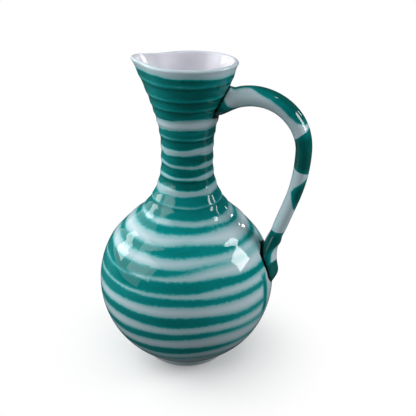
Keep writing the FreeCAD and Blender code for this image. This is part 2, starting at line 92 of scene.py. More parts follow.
def thrown_radius(height):
    """Outside of the wall as thrown: belly circle, root circle, upright waist, flare circle, straight cone."""
    belly = np.sqrt(np.maximum(BELLY_RADIUS ** 2 - (height - BELLY_CENTRE) ** 2, 0))
    root = ROOT_CENTRE - np.sqrt(np.maximum(ROOT_BEND ** 2 - (WAIST_FOOT - height) ** 2, 0))
    flare = FLARE_CENTRE - np.sqrt(np.maximum(FLARE_BEND ** 2 - (height - WAIST_TOP) ** 2, 0))
    cone = FUNNEL_RADIUS + np.tan(FLARE_ANGLE) * (height - FUNNEL_FOOT)
    places = [height < SEAM_HEIGHT, height < WAIST_FOOT, height < WAIST_TOP, height < FUNNEL_FOOT]
    return np.select(places, [belly, root, np.full_like(height, WAIST_RADIUS), flare], cone)


def inner_radius(height):
    """Inside of belly and neck: the outside's circles, one wall thinner."""
    inner = BELLY_RADIUS - WALL
    seam = BELLY_CENTRE + inner * (SEAM_HEIGHT - BELLY_CENTRE) / BELLY_RADIUS
    belly = np.sqrt(np.maximum(inner ** 2 - (height - BELLY_CENTRE) ** 2, 0))
    root = ROOT_CENTRE - np.sqrt(np.maximum((ROOT_BEND + WALL) ** 2 - (WAIST_FOOT - height) ** 2, 0))
    flare = FLARE_CENTRE - np.sqrt(np.maximum((FLARE_BEND + WALL) ** 2 - (height - WAIST_TOP) ** 2, 0))
    places = [height < seam, height < WAIST_FOOT, height < WAIST_TOP]
    return np.select(places, [belly, root, np.full_like(height, WAIST_RADIUS - WALL)], flare)


def ring_share(height):
    """Place between two throwing rings: nought on the lower crest, one on the upper; nought off the rings."""
    number = np.clip(np.searchsorted(CRESTS, height, side="right") - 1, 0, len(CRESTS) - 2)
    share = (height - CRESTS[number]) / (CRESTS[number + 1] - CRESTS[number])
    return np.where((share < 0) | (share > 1), 0, share)


def smooth(low, high, value):
    """Smooth step from nought to one between two values."""
    share = np.clip((value - low) / (high - low), 0, 1)
    return share * share * (3 - 2 * share)


def bell(value, spread):
    """Bell curve: one at nought, falling off over the spread."""
    return np.exp(-(value / spread) ** 2)


def waves(rows, turn, height):
    """Sum of a table of sine waves, which run round by the turn and twist with the height."""
    return sum(size * np.sin(count * turn + start + height / rise) for size, count, start, rise in rows)


def arc(centre, radius, start, end, count):
    """Points on a circle in the plane of reach and height."""
    angle = np.linspace(start, end, count)
    return np.stack([centre[0] + radius * np.cos(angle), centre[1] + radius * np.sin(angle)], axis=-1)


def level_line(start, end, count, height):
    """Points along a level line in the plane of reach and height."""
    return np.stack([np.linspace(start, end, count), np.full(count, height)], axis=-1)


def joined_grid(name, points, values):
    """A closed skin over rings of points: each ring joins the next, and the first and last are drawn to a point.

    The points are an array of rings by turns by three. Each value is an array of rings by turns, and becomes an
    attribute.
    """
    rings, turns = points.shape[:2]
    verts = np.concatenate([points[0].mean(0)[None], points.reshape(-1, 3), points[-1].mean(0)[None]])
    ring = np.arange(rings * turns).reshape(rings, turns) + 1
    after = np.roll(ring, -1, axis=1)
    quads = np.stack([ring[:-1], after[:-1], after[1:], ring[1:]], axis=-1).reshape(-1, 4)
    start = np.stack([np.zeros(turns, int), after[0], ring[0]], axis=-1)
    end = np.stack([np.full(turns, len(verts) - 1), ring[-1], after[-1]], axis=-1)
    corners = verts[quads]
    normals = np.cross(corners[:, 2] - corners[:, 0], corners[:, 3] - corners[:, 1])
    if (corners.mean(1) * normals).sum() < 0:
        quads, start, end = quads[:, ::-1], start[:, ::-1], end[:, ::-1]
    mesh = bpy.data.meshes.new(name)
    mesh.from_pydata(verts, [], quads.tolist() + start.tolist() + end.tolist())
    mesh.polygons.foreach_set("use_smooth", np.ones(len(mesh.polygons), bool))
    for value_name, value in values.items():
        layer = mesh.attributes.new(value_name, "FLOAT", "POINT")
        flat = np.concatenate([[value[0].mean()], value.ravel(), [value[-1].mean()]])
        layer.data.foreach_set("value", flat.astype(np.float32))
    return placed(name, mesh)


def placed(name, data):
    """A new object with this data, in the scene."""
    made = bpy.data.objects.new(name, data)
    bpy.context.scene.collection.objects.link(made)
    return made


def wall_rows():
    """Arrays over the wall's rows: thrown reach, height, inset, lift, and nought outside to one inside.

    The inset leads from the outside into the wall, square to it, and the lift leads up over the lip.
    """
    inner_foot = FOOT_RADIUS - FOOT_WIDTH
    under = level_line(inner_foot * UNDER_START, inner_foot, UNDER_ROWS, FOOT_HEIGHT)
    edge_in = arc((inner_foot + FOOT_EDGE, FOOT_EDGE), FOOT_EDGE, np.pi, 1.5 * np.pi, EDGE_ROWS)
    edge_out = arc((FOOT_RADIUS - FOOT_EDGE, FOOT_EDGE), FOOT_EDGE, -np.pi / 2, 0, EDGE_ROWS)
    foot_top = np.array([[FOOT_RADIUS, FOOT_HEIGHT - FOOT_FILLET]])
    belly_start = FOOT_FILLET / BELLY_RADIUS - np.arcsin((BELLY_CENTRE - FOOT_HEIGHT) / BELLY_RADIUS)
    belly_end = np.arcsin((SEAM_HEIGHT - BELLY_CENTRE) / BELLY_RADIUS)
    belly = arc((0, BELLY_CENTRE), BELLY_RADIUS, belly_start, belly_end, BELLY_ROWS)
    neck_height = np.linspace(SEAM_HEIGHT, LIP_HEIGHT, NECK_ROWS + 1)[1:]
    neck = np.stack([thrown_radius(neck_height), neck_height], axis=-1)
    outside = np.concatenate([under, edge_in, edge_out, foot_top, belly, neck])

    over = np.linspace(0, np.pi, LIP_ROWS)[1:]
    lip = level_line(neck[-1, 0], neck[-1, 0], len(over), LIP_HEIGHT)

    down = np.linspace(LIP_HEIGHT, MOUTH_FOOT, INSIDE_ROWS // 3)[1:]
    mouth = np.stack([thrown_radius(down), down], axis=-1)
    mouth_foot = np.array([MOUTH_FOOT])
    foot_wall = (thrown_radius(mouth_foot) - inner_radius(mouth_foot))[0]
    mouth_inset = foot_wall + (LIP_THICKNESS - foot_wall) * (down - MOUTH_FOOT) / (LIP_HEIGHT - MOUTH_FOOT)

    bore_height = np.linspace(MOUTH_FOOT, SEAM_HEIGHT, INSIDE_ROWS // 3)[1:]
    bore = np.stack([inner_radius(bore_height), bore_height], axis=-1)
    inner = BELLY_RADIUS - WALL
    floor_height = FOOT_HEIGHT + FLOOR_THICKNESS
    round_centre = floor_height + FLOOR_ROUND
    round_reach = np.sqrt((inner - FLOOR_ROUND) ** 2 - (BELLY_CENTRE - round_centre) ** 2)
    round_angle = -np.arctan2(BELLY_CENTRE - round_centre, round_reach)
    inside_start = np.arcsin((bore_height[-1] - BELLY_CENTRE) / inner)
    inside = arc((0, BELLY_CENTRE), inner, inside_start, round_angle, INSIDE_ROWS // 2)[1:]
    corner = arc((round_reach, round_centre), FLOOR_ROUND, round_angle, -np.pi / 2, FLOOR_ROWS)[1:]
    floor = level_line(round_reach, round_reach * FLOOR_END, FLOOR_ROWS, floor_height)[1:]

    within = np.concatenate([bore, inside, corner, floor])
    path = np.concatenate([outside, lip, mouth, within])
    none_outside, none_within = np.zeros(len(outside)), np.zeros(len(within))
    inset = np.concatenate([none_outside, LIP_RADIUS * (1 - np.cos(over)), mouth_inset, none_within])
    lift = np.concatenate([none_outside, LIP_RADIUS * np.sin(over), np.zeros(len(mouth)), none_within])
    inner_share = np.concatenate([none_outside, (1 - np.cos(over)) / 2, np.ones(len(mouth) + len(within))])
    return path[:, 0], path[:, 1], inset, lift, inner_share


def draw_of_spout(turn, height):
    """How far the pinched mouth departs from the thrown funnel: a bell at the spout, less the draw of both sides."""
    pinch = np.clip((height - FUNNEL_FOOT) / (LIP_HEIGHT - FUNNEL_FOOT), 0, None) ** PINCH_POWER
    return pinch * (SPOUT_REACH * bell(turn, SPOUT_SPREAD) - SIDE_DRAW * np.abs(np.cos(turn / 2)) ** DRAW_POWER)


def make_wall():
    """Foot, belly, neck and mouth as one glazed wall.

    Each row is a ring of its thrown reach, plus the spout's draw, the shoulder's ripples and a slow wobble of the
    hand, less the hollows between the throwing rings and the shoulder's dent. It is then set in from the outside by
    its inset, square to its outline seen from above. The spout's turn is nought, and turns grow against the clock.
    """
    thrown, height, inset, lift, inner = (row[:, None] for row in wall_rows())
    turn, height = np.broadcast_arrays(np.linspace(-np.pi, np.pi, TURNS, endpoint=False), height)
    share = ring_share(height + waves(RING_WANDER, turn, height))
    hollow = RING_DEPTH * np.sin(np.pi * share ** HOLLOW_POWER) * (1 - inner)
    wobble = waves(WALL_WOBBLE, turn, height) * smooth(WOBBLE_FOOT, WOBBLE_FULL, height)
    dent = SHOULDER_DENT * bell(height - SHOULDER_HEIGHT, SHOULDER_SPREAD)
    phase = TURN * height / RIPPLE_PITCH + waves(RIPPLE_BENDS, turn, height)
    ripple = RIPPLE * np.sin(phase) * bell(height - RIPPLE_HEIGHT, RIPPLE_SPREAD) * (1 - inner)
    reach = thrown + draw_of_spout(turn, height) - hollow - dent + ripple + wobble

    slope = (np.roll(reach, -1, axis=1) - np.roll(reach, 1, axis=1)) / (2 * TURN / TURNS)
    length = np.hypot(reach, slope)
    along, across = reach - inset * reach / length, inset * slope / length
    x = -along * np.cos(turn) - across * np.sin(turn)
    y = -along * np.sin(turn) + across * np.cos(turn)
    high = np.clip((height - MOUTH_FOOT) / (LIP_HEIGHT - MOUTH_FOOT), 0, None) ** RISE_POWER
    z = height + lift + SPOUT_RISE * bell(turn, SPOUT_SPREAD) * high
    lean = smooth(LEAN_FOOT, LEAN_TOP, height)
    points = np.stack([x + NECK_LEAN[0] * lean, y + NECK_LEAN[1] * lean, z], axis=-1)

    front = np.arctan2(y, x) + FRONT
    near, depth = painted_bands(front, height)
    values = {
        "band": near * (1 + FINER_ON_NECK * smooth(NECK_EDGE_FOOT, NECK_EDGE_TOP, height)),
        "near": near,
        "depth": depth,
        "thin": crest_lines(front, height),
        "ridge": bell(np.minimum(share, 1 - share), CREST_SPREAD) * (share > 0),
        "groove": bell(share - GROOVE_PLACE, GROOVE_SPREAD) * (share > 0),
        "inside": inner + 0 * height,
        "crease": wall_crease(x, y, z) * (1 - inner) + FAR_FROM_CREASE * inner,
    }
    return joined_grid("jug_wall", points, values)


# The painted bands: foot and top in millimetres above the table at five turns across the front, from left to right,
# and the depth of green at the left, the middle and the right. The front faces the camera, this far round from the
# handle
FRONT = np.radians(78)
BAND_TURNS = np.radians([-50, -20, 0, 20, 45])
BANDS = [
    ((19.4, 21.6, 22.6, 23.4, 23.6), (21.4, 24.0, 25.0, 25.2, 25.0), (0.42, 0.42, 0.21)),
    ((29.4, 29.6, 31.1, 33.4, 34.4), (34.8, 36.9, 38.4, 38.8, 37.4), (0.68, 0.74, 0.42)),
    ((43.8, 45.1, 47.9, 49.6, 48.9), (50.0, 51.2, 53.2, 54.0, 53.2), (0.68, 0.68, 0.38)),
    ((59.3, 57.9, 59.0, 60.6, 60.6), (65.7, 66.2, 67.4, 67.8, 65.8), (0.72, 0.76, 0.5)),
    ((72.9, 74.7, 76.2, 77.0, 75.6), (80.6, 81.0, 81.9, 81.7, 80.0), (0.68, 0.64, 0.58)),
    ((82.7, 83.7, 85.8, 87.3, 86.8), (91.1, 92.4, 93.6, 94.0, 91.6), (0.72, 0.72, 0.68)),
    ((91.8, 95.1, 97.8, 100.6, 101.0), (99.6, 100.3, 101.4, 102.8, 102.4), (0.77, 0.51, 0.26)),
    ((106.3, 106.5, 106.6, 106.7, 107.0), (111.4, 112.3, 113.9, 113.3, 110.4), (0.68, 0.64, 0.59)),
    ((118.7, 118.6, 118.8, 119.6, 120.1), (123.5, 122.9, 123.1, 123.2, 122.2), (0.68, 0.64, 0.59)),
    ((126.1, 126.1, 126.3, 126.3, 126.8), (141.1, 141.3, 141.7, 141.9, 141.6), (0.72, 0.68, 0.72)),
    ((146.8, 146.4, 146.0, 146.1, 147.7), (152.7, 153.7, 153.7, 153.1, 152.0), (0.82, 0.95, 0.9)),
    ((155.6, 155.5, 155.3, 156.2, 157.0), (162.2, 162.0, 161.8, 161.3, 160.7), (0.82, 0.92, 0.85)),
    ((165.3, 164.3, 164.3, 164.2, 165.5), (170.8, 171.2, 171.5, 171.5, 170.2), (0.82, 0.98, 0.95)),
    ((176.3, 176.0, 176.3, 177.1, 178.0), (190.0, 190.7, 190.5, 190.6, 190.4), (0.8, 0.92, 0.9)),
    ((198.4, 198.6, 199.4, 200.4, 199.2), (229.8, 229.8, 229.6, 229.3, 228.0), (0.82, 0.95, 0.95)),
]
AROUND_STEPS, BLUR_STEPS = 720, 24
BAND_WAVES = [(0.3, 3, 0, 11 * MM), (0.2, 7, 0, 6.5 * MM)]
FAR_OUTSIDE = -50.0
# The bands' edges are less soft on the slender neck
FINER_ON_NECK, NECK_EDGE_FOOT, NECK_EDGE_TOP = 0.8, 112 * MM, 145 * MM
# No band crosses the clay under the handle: each ends in an upright run of glaze beside the lower joint, placed by
# its turn from the handle. Half breadth, foot and top are in millimetres, and its ends are softer than its sides
RUN_TURN, RUN_HALF_WIDTH, RUN_FOOT, RUN_TOP, RUN_DEPTH, RUN_END_SOFTNESS = np.radians(16.5), 3.2, 50, 82, 0.75, 2
# Lines where the glaze ran thin on a throwing ring: height and half breadth in millimetres, and how thin
CREST_LINES = [(134.6, 1.0, 0.65), (184.2, 0.9, 0.8), (189.3, 1.3, 0.35), (206.8, 0.8, 0.45), (214.2, 0.9, 0.55),
               (224.2, 1.0, 0.55)]
LINE_WAVES = [(0.3, 2, 1, UPRIGHT), (0.15, 9, 0, UPRIGHT)]
LINE_STRENGTH, LINE_FADE = 0.75, [(0.25, 4, 0, 5 * MM)]


def around(values, front):
    """Knots across the front, joined round the back, as a smooth curve of the turn."""
    turn = np.linspace(-np.pi, np.pi, AROUND_STEPS, endpoint=False)
    knots = np.interp(turn, BAND_TURNS, values, period=TURN)
    window = np.hanning(2 * BLUR_STEPS + 1)
    padded = np.concatenate([knots[-BLUR_STEPS:], knots, knots[:BLUR_STEPS]])
    curve = np.convolve(padded, window / window.sum(), "valid")
    return np.interp(front, turn, curve, period=TURN)


def painted_bands(front, height):
    """How far inside its nearest band a point lies, in millimetres, and that band's depth of green.

    The distance is the lesser of those to the band's foot and top, and below nought between the bands. Beside the
    lower joint the bands stop at an upright run of glaze.
    """
    level = height / MM + waves(BAND_WAVES, front, height)
    best, depth = np.full_like(front, FAR_OUTSIDE), np.zeros_like(front)
    for foot, top, tones in BANDS:
        inside = np.minimum(level - around(foot, front), around(top, front) - level)
        tone_here = around(np.interp(BAND_TURNS, BAND_TURNS[::2], tones), front)
        depth = np.where(inside > best, tone_here, depth)
        best = np.maximum(best, inside)
    beside = (np.abs(np.angle(np.exp(1j * (front - FRONT)))) - RUN_TURN) * BELLY_RADIUS / MM
    best = np.where(level < RUN_TOP, np.minimum(best, beside + RUN_HALF_WIDTH), best)
    ends = np.minimum(level - RUN_FOOT, RUN_TOP - level) / RUN_END_SOFTNESS
    run = np.minimum(ends, RUN_HALF_WIDTH - np.abs(beside))
    depth = np.where(run > best, RUN_DEPTH, depth)
    return np.maximum(best, run), depth


def crest_lines(front, height):
    """One on the lines where the glaze is thin, falling off as a bell above and below them."""
    level = height / MM + waves(LINE_WAVES, front, height)
    lines = [share * bell(level - line, half) for line, half, share in CREST_LINES]
    return np.max(lines, axis=0) * (LINE_STRENGTH + waves(LINE_FADE, front, height))


# The joints' outlines on the wall: half breadth by height at the top, by the angle up the belly below
SEAT_HEIGHTS = np.array([196.2, 197.4, 199, 203, 208, 216, 219, 220.5]) * MM
SEAT_HALF_WIDTHS = np.array([0, 7, 10.8, 11.4, 9.6, 5.8, 2.8, 0]) * MM
PALM_ANGLES = np.radians([2.5, 5.9, 10.2, 15.1, 21.9, 28.5, 30.4, 31.4])
PALM_HALF_WIDTHS = np.array([0, 5.3, 10.2, 10.4, 11.5, 10, 4.8, 0]) * MM
FAR_FROM_CREASE = 9.0


def wall_crease(x, y, z):
    """Distance in millimetres from the nearer joint's outline on the wall, below nought under the joint."""
    upper = np.abs(y) - np.interp(z, SEAT_HEIGHTS, SEAT_HALF_WIDTHS)
    upper = np.maximum(upper, np.maximum(SEAT_HEIGHTS[0] - z, z - SEAT_HEIGHTS[-1]))
    up = np.arctan2(z - BELLY_CENTRE, np.hypot(x, y))
    lower = np.abs(y) - np.interp(up, PALM_ANGLES, PALM_HALF_WIDTHS)
    lower = np.maximum(lower, np.maximum(PALM_ANGLES[0] - up, up - PALM_ANGLES[-1]) * BELLY_RADIUS)
    near = np.minimum(np.minimum(upper, lower) / MM, FAR_FROM_CREASE)
    return np.where(x > 0, near, FAR_FROM_CREASE)


# Pulled handle, in its own plane: reach from the axis and height
HANDLE_START, CROWN_REACH, CROWN_HEIGHT = 36.4 * MM, 47.38 * MM, 212.96 * MM
GRIP_BEND, BACK_BEND, BACK_ANGLE, SHANK_LENGTH = 38 * MM, 120 * MM, np.radians(19), 30 * MM
GRIP_STATIONS, BACK_STATIONS, SHANK_STATIONS = 22, 8, 5
# The strap's taper: breadth and thickness by length
TAPER_LENGTHS = np.array([0, 71, 111, 141]) * MM
TAPER_BREADTHS = np.array([20, 19, 16, 14.5]) * MM
TAPER_THICKNESSES = np.array([14.2, 12.2, 10.8, 10]) * MM
# Stations of the upper joint: reach, height, heading in degrees, breadth, thickness, and how much wider the foot is
UPPER_STATIONS = [(24.4, 209.0, -18.5, 21.0, 23.4, 0.55), (27.6, 209.4, -9, 21.2, 21.4, 0.5),
                  (30.2, 210.1, 1, 21.0, 18.6, 0.35), (33.0, 210.8, 9, 20.4, 16.2, 0.18)]
# Stations of the lower joint: degrees up the belly, stand off the wall, breadth, and how much wider the foot is
LOWER_STATIONS = [(26.5, 12.3, 22, 0.45), (22.5, 8.6, 23.6, 0.45), (17, 6.3, 21.8, 0.4), (10.5, 5.7, 20.6, 0.35),
                  (5.6, 2.4, 12, 0.3), (2, -0.6, 5, 0)]
SEAT_SINK = 2.2 * MM
HANDLE_TURNS, HANDLE_SPAN_ROWS = 96, 6
# Shallow groove down the outer face, and the lengths between which it comes in and goes out
STRAP_GROOVE, STRAP_GROOVE_SPREAD, GROOVE_IN, GROOVE_OUT = 0.07, 0.45, (0.02, 0.05), (0.15, 0.12)
LUMPS = [(0.012, 2, 0, 7 * MM), (0.01, -1, 0, 17 * MM)]

# Green patches on the handle. Each is given along the handle's line from where it leaves the upper joint, in
# millimetres, by the turns round the strap between which it lies: 0 on the outer face, 90 on the side, 180 inside.
# A near turn below nought carries the patch across the outer face, and a far turn below nought ends it
PATCHES = [
    ((-30, -12, -9, -5, -1, 2), (20, 30, 70, 110, 140, 200), (200,) * 6),
    ((-7, -2, 12, 19), (-20,) * 4, (-20, 18, 20, 10)),
    ((5, 10, 15, 20, 28, 40, 47, 51, 54), (-60,) * 9, (-20, 20, 48, 62, 76, 84, 76, 42, -60)),
    ((53.5, 56, 59, 61, 80.5, 83.5, 87), (-60,) * 7, (-60, 90, 150, 200, 200, 140, -60)),
    ((84, 88, 92, 97, 101, 106, 113, 118), (-60,) * 8, (10, 28, 65, 112, 125, 105, 60, -40)),
    ((132.5, 135.5, 138.5, 145, 150, 161, 165, 200), (-60, -60, -60, -60, 66, 80, -60, -60),
     (-60, 90, 200, 200, 200, 200, 200, 200)),
]
MM_A_DEGREE, FAR_OFF_PATCH = 0.16, -20.0


def handle_line():
    """Stations down the handle, from inside the funnel to the tail.

    Each has its reach, height, heading, breadth, thickness and how much wider the foot is. Over the top they lie on
    the grip's circle, down the back on the back's circle, and then on a straight shank. The lower joint's stations
    stand off the belly's circle.
    """
    lead = np.arcsin((CROWN_REACH - HANDLE_START) / GRIP_BEND)
    grip_centre = np.array([CROWN_REACH, CROWN_HEIGHT - GRIP_BEND])
    grip = arc(grip_centre, GRIP_BEND, np.pi / 2 + lead, 0, GRIP_STATIONS)
    back = arc(grip_centre - [BACK_BEND - GRIP_BEND, 0], BACK_BEND, 0, -BACK_ANGLE, BACK_STATIONS)[1:]
    down = np.array([-np.sin(BACK_ANGLE), -np.cos(BACK_ANGLE)])
    shank = back[-1] + np.linspace(0, SHANK_LENGTH, SHANK_STATIONS)[1:, None] * down
    path = np.concatenate([grip, back, shank])
    heading = np.concatenate([np.linspace(lead, -np.pi / 2, GRIP_STATIONS),
                              -np.pi / 2 - np.linspace(0, BACK_ANGLE, BACK_STATIONS)[1:],
                              np.full(SHANK_STATIONS - 1, -np.pi / 2 - BACK_ANGLE)])
    length = lengths_along(path)
    breadth = np.interp(length, TAPER_LENGTHS, TAPER_BREADTHS)
    thick = np.interp(length, TAPER_LENGTHS, TAPER_THICKNESSES)
    strap = np.stack([path[:, 0], path[:, 1], heading, breadth, thick, np.zeros_like(thick)], axis=-1)

    upper = np.array(UPPER_STATIONS) * [MM, MM, np.pi / 180, MM, MM, 1]
    angle, stand, width, press = (np.array(LOWER_STATIONS) * [np.pi / 180, MM, MM, 1]).T
    middle = BELLY_RADIUS + (stand - SEAT_SINK) / 2
    lower = np.stack([middle * np.cos(angle), BELLY_CENTRE + middle * np.sin(angle), angle - np.pi / 2, width,
                      stand + SEAT_SINK, press], axis=-1)
    return np.concatenate([upper, strap, lower])


def lengths_along(path):
    """Length from the first point to each point of a path in the plane of reach and height."""
    return np.concatenate([[0], np.cumsum(np.hypot(*np.diff(path, axis=0).T))])


def through(stations, per_span):
    """A smooth curve through the stations: on each span a cubic whose slopes come from the neighbours."""
    before, after = np.roll(stations, 1, axis=0), np.roll(stations, -1, axis=0)
    slopes = (after - before) / 2
    slopes[0], slopes[-1] = stations[1] - stations[0], stations[-1] - stations[-2]
    share = np.linspace(0, 1, per_span, endpoint=False)[None, :, None]
    a, b, m, n = stations[:-1, None], stations[1:, None], slopes[:-1, None], slopes[1:, None]
    curve = ((2 * share ** 3 - 3 * share ** 2 + 1) * a + (share ** 3 - 2 * share ** 2 + share) * m
             + (3 * share ** 2 - 2 * share ** 3) * b + (share ** 3 - share ** 2) * n)
    return np.concatenate([curve.reshape(-1, stations.shape[1]), stations[-1:]])


def painted_patches(along, turn):
    """How far inside its nearest patch a point lies, in millimetres, and below nought outside them all."""
    inside = np.full(np.broadcast_shapes(along.shape, turn.shape), FAR_OFF_PATCH)
    for places, low, high in PATCHES:
        low, high = np.interp(along, places, low), np.interp(along, places, high)
        here = np.minimum(high - turn, turn - low) * MM_A_DEGREE
        here = np.minimum(here, np.minimum(along - places[0], places[-1] - along))
        inside = np.maximum(inside, here)
    return inside


def make_handle():
    """The pulled handle with both of its joints, as one sweep.

    Each ring is an oval round the handle's line, its breadth across the jug, and wider at its foot where a joint is
    pressed on. A shallow groove runs down the outer face.
    """
    rows = through(handle_line(), HANDLE_SPAN_ROWS)
    reach, height, heading, breadth, thick, press = (rows[:, number, None] for number in range(6))
    turn = np.linspace(0, TURN, HANDLE_TURNS, endpoint=False)[None]
    length = lengths_along(rows[:, :2])[:, None]
    off_centre = np.angle(np.exp(1j * turn))
    gripped = smooth(*GROOVE_IN, length) * smooth(*GROOVE_OUT, length)
    groove = 1 - STRAP_GROOVE * gripped * bell(off_centre, STRAP_GROOVE_SPREAD)
    lump = 1 + waves(LUMPS, turn, length)
    out = thick / 2 * np.cos(turn) * groove * lump
    side = breadth / 2 * np.sin(turn) * lump * (1 - press * np.cos(turn))
    x = reach - out * np.sin(heading)
    z = height + out * np.cos(heading)
    points = np.stack([x, -side, z], axis=-1)

    off_wall = np.hypot(x, side) - thrown_radius(z)
    along = length - length[len(UPPER_STATIONS) * HANDLE_SPAN_ROWS]
    values = {
        "patch": painted_patches(along / MM, np.degrees(np.abs(off_centre))),
        "crease": np.clip(off_wall / MM, 0, FAR_FROM_CREASE),
    }
    return joined_grid("pulled_handle", points, values)


class Value:
    """A socket that takes part in sums: each operation adds a Math node."""

    def __init__(self, finish, socket):
        self.finish, self.socket = finish, socket

    def math(self, operation, *others):
        return self.finish.node("ShaderNodeMath", {"operation": operation}, dict(enumerate((self,) + others)))

    def __add__(self, other):
        return self.math("ADD", other)

    def __sub__(self, other):
        return self.math("SUBTRACT", other)

    def __rsub__(self, other):
        return self.finish.node("ShaderNodeMath", {"operation": "SUBTRACT"}, {0: other, 1: self})

    def __mul__(self, other):
        return self.math("MULTIPLY", other)

    __radd__, __rmul__ = __add__, __mul__


class Finish:
    """A finish: one material, with the methods that add nodes to it."""

    def __init__(self, name, roughness):
        self.material = bpy.data.materials.new(name)
        self.material.use_nodes = True
        self.tree = self.material.node_tree
        self.shader = self.tree.nodes["Principled BSDF"]
        self.shader.inputs["IOR"].default_value = GLAZE_IOR
        self.shader.inputs["Roughness"].default_value = roughness

    def node(self, kind, settings, inputs, output=0):
        """A node with its settings and its sockets' values or links; returns one of its outputs as a value."""
        made = self.tree.nodes.new(kind)
        for key, setting in settings.items():
            if key == "stops":
                ramp = made.color_ramp
                ramp.elements[0].position, ramp.elements[0].color = setting[0]
                ramp.elements[1].position, ramp.elements[1].color = setting[-1]
                for place, colour in setting[1:-1]:
                    ramp.elements.new(place).color = colour
            else:
                setattr(made, key, setting)
        for key, given in inputs.items():
            if isinstance(given, Value):
                self.tree.links.new(given.socket, made.inputs[key])
            else:
                made.inputs[key].default_value = given
        return Value(self, made.outputs[output])

    def paint(self, socket, value):
        """Feed one of the shader's sockets."""
        self.tree.links.new(value.socket, self.shader.inputs[socket])

    def attribute(self, name):
        return self.node("ShaderNodeAttribute", {"attribute_name": name}, {}, "Fac")

    def place(self):
        return self.node("ShaderNodeTexCoord", {}, {}, "Object")

    def noise(self, scale, stretch, detail, roughness=0.5):
        """Clouds from nought to one, by Object coordinates scaled along each axis."""
        stretched = self.node("ShaderNodeMapping", {}, {"Vector": self.place(), "Scale": stretch})
        inputs = {"Vector": stretched, "Scale": scale, "Detail": detail, "Roughness": roughness}
        return self.node("ShaderNodeTexNoise", {}, inputs, "Fac")

    def step(self, low, high, value):
        """Smooth step from nought to one."""
        inputs = {"Value": value, "From Min": low, "From Max": high}
        return self.node("ShaderNodeMapRange", {"interpolation_type": "SMOOTHSTEP"}, inputs)

    def ramp(self, stops, value):
        return self.node("ShaderNodeValToRGB", {"stops": stops}, {"Fac": value}, "Color")

    def mix(self, factor, first, second):
        """Colour mix: sockets 6 and 7 are the two colours, and output 2 is theirs."""
        return self.node("ShaderNodeMix", {"data_type": "RGBA"}, {0: factor, 6: first, 7: second}, 2)

    def bump(self, height, strength, distance):
        inputs = {"Height": height, "Strength": strength, "Distance": distance}
        self.paint("Normal", self.node("ShaderNodeBump", {}, inputs))


def tone(red, green, blue):
    """Linear colour of an sRGB colour with parts of 255."""
    share = np.array([red, green, blue]) / 255
    linear = np.where(share > 0.04045, ((share + 0.055) / 1.055) ** 2.4, share / 12.92)
    return tuple(linear.tolist()) + (1.0,)


GLAZE_IOR = 1.52
# White glaze, and the inside's own lavender white, painted paler than the outside's as painted light
WHITE_GLAZE, INSIDE_GLAZE_AND_LIGHT = tone(199, 221, 228), tone(232, 231, 239)
# White glaze, thin green over it, full green, and green pooled deep
GLAZE_DEPTH = [(0.0, WHITE_GLAZE), (0.28, tone(108, 186, 188)), (0.5, tone(10, 146, 146)), (0.8, tone(0, 120, 117)),
               (1.0, tone(0, 92, 88))]
# Near-black green of glaze pooled at the joints, which also paints the shade in their creases; and the bare clay
POOLED_GLAZE_AND_SHADE, BISCUIT = tone(0, 22, 20), tone(196, 176, 156)
# Roughness of the glaze: on the whole, where it is smoothest, and what clouds and bare clay add
GLAZE_ROUGHNESS, SMOOTHEST, CLOUD_ROUGHNESS, BISCUIT_ROUGHNESS = 0.05, 0.02, 0.03, 0.75

# Noises: scale, stretch along each axis, detail and roughness
THREADS, CLOUDS = (70, (6, 6, 0.5), 3.0, 0.6), (34, (1, 1, 3.5), 4.0, 0.6)
GRAIN, SWELL, FINE_SWELL = (300, (1, 1, 2.6), 1.0), (38, (1, 1, 1.6), 1.0), (260, (1, 1, 1), 1.0)
HANDLE_CLOUDS, HANDLE_SWELL = (60, (1, 1, 1), 3.0), (40, (1, 1, 1), 1.0)

# Over a band's edge, in millimetres from its outside to its inside: the green body, and the faint tint beside it
BODY_EDGE, TINT_EDGE, TINT = (-2.3, 2.0), (-4.2, 0.4), 0.21
THREADS_AT_EDGE, CLOUDS_AT_EDGE, GRAIN_AT_EDGE = 1.3, 1.2, 0.8
# Depth of green within a band, and what clouds, grain, crests and grooves do to it
BODY, CLOUDS_IN_BODY, GRAIN_IN_BODY, CREST_IN_BODY, GROOVE_IN_BODY, THIN_IN_BODY = 0.7, 0.54, 0.2, 0.24, 0.2, 0.8
# Painted shade with pooled glaze at a joint's outline, and the foot wiped bare at the table, from nought to full
WALL_CREASE, BARE_FOOT = (2.6, 1.2), (1.3 * MM, 0.7 * MM)
WALL_BUMP, FINE_SHARE = 0.3, 0.05

# The same on the handle, where the patches are deeper in the middle
PATCH_EDGE, PATCH_TINT_EDGE, PATCH_TINT, PATCH_MIDDLE = (-1.7, 1.7), (-3.2, 0.4), 0.14, (1, 9)
CLOUDS_AT_PATCH, PATCH_BODY, CLOUDS_IN_PATCH, MIDDLE_IN_PATCH = 2.4, 0.56, 0.3, 0.3
# Painted shade with pooled glaze where the handle meets the wall, from nought to full; then the handle's bumps
HANDLE_CREASE, HANDLE_BUMP, BUMP_DISTANCE = (2.1, 0.5), 0.15, 1.0 * MM


